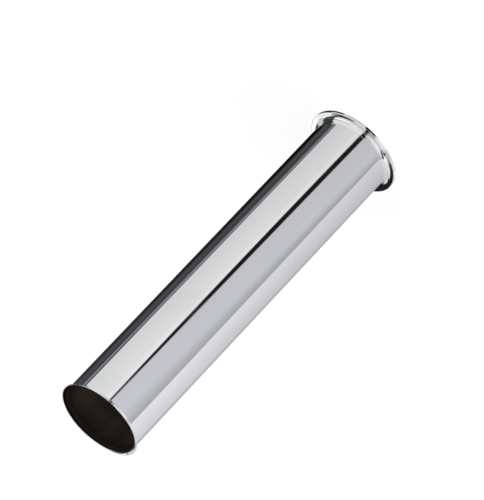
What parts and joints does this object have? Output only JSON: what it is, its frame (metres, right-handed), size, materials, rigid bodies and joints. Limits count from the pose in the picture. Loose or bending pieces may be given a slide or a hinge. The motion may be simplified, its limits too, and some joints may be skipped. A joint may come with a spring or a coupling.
{
  "type": "basin waste tail pipe",
  "caption": "Straight chrome-plated waste tube with a thin turned-out flange at one end and a small belled lip at the other, carrying water from a basin waste down to a trap.",
  "frame": {"origin": "centre of the flange's sealing face", "axes": "+Z along the pipe's axis from the flange to the lipped end; the pipe stands on its flange; X and Y are free because the pipe is round"},
  "size_m": [0.0388, 0.0388, 0.155],
  "materials": {
    "chrome_plate": "bright chrome plate on brass tube, polished outside, dull and dark in the bore"
  },
  "bodies": {
    "root": {"tail_pipe": "chrome_plate"}
  },
  "joints": []
}
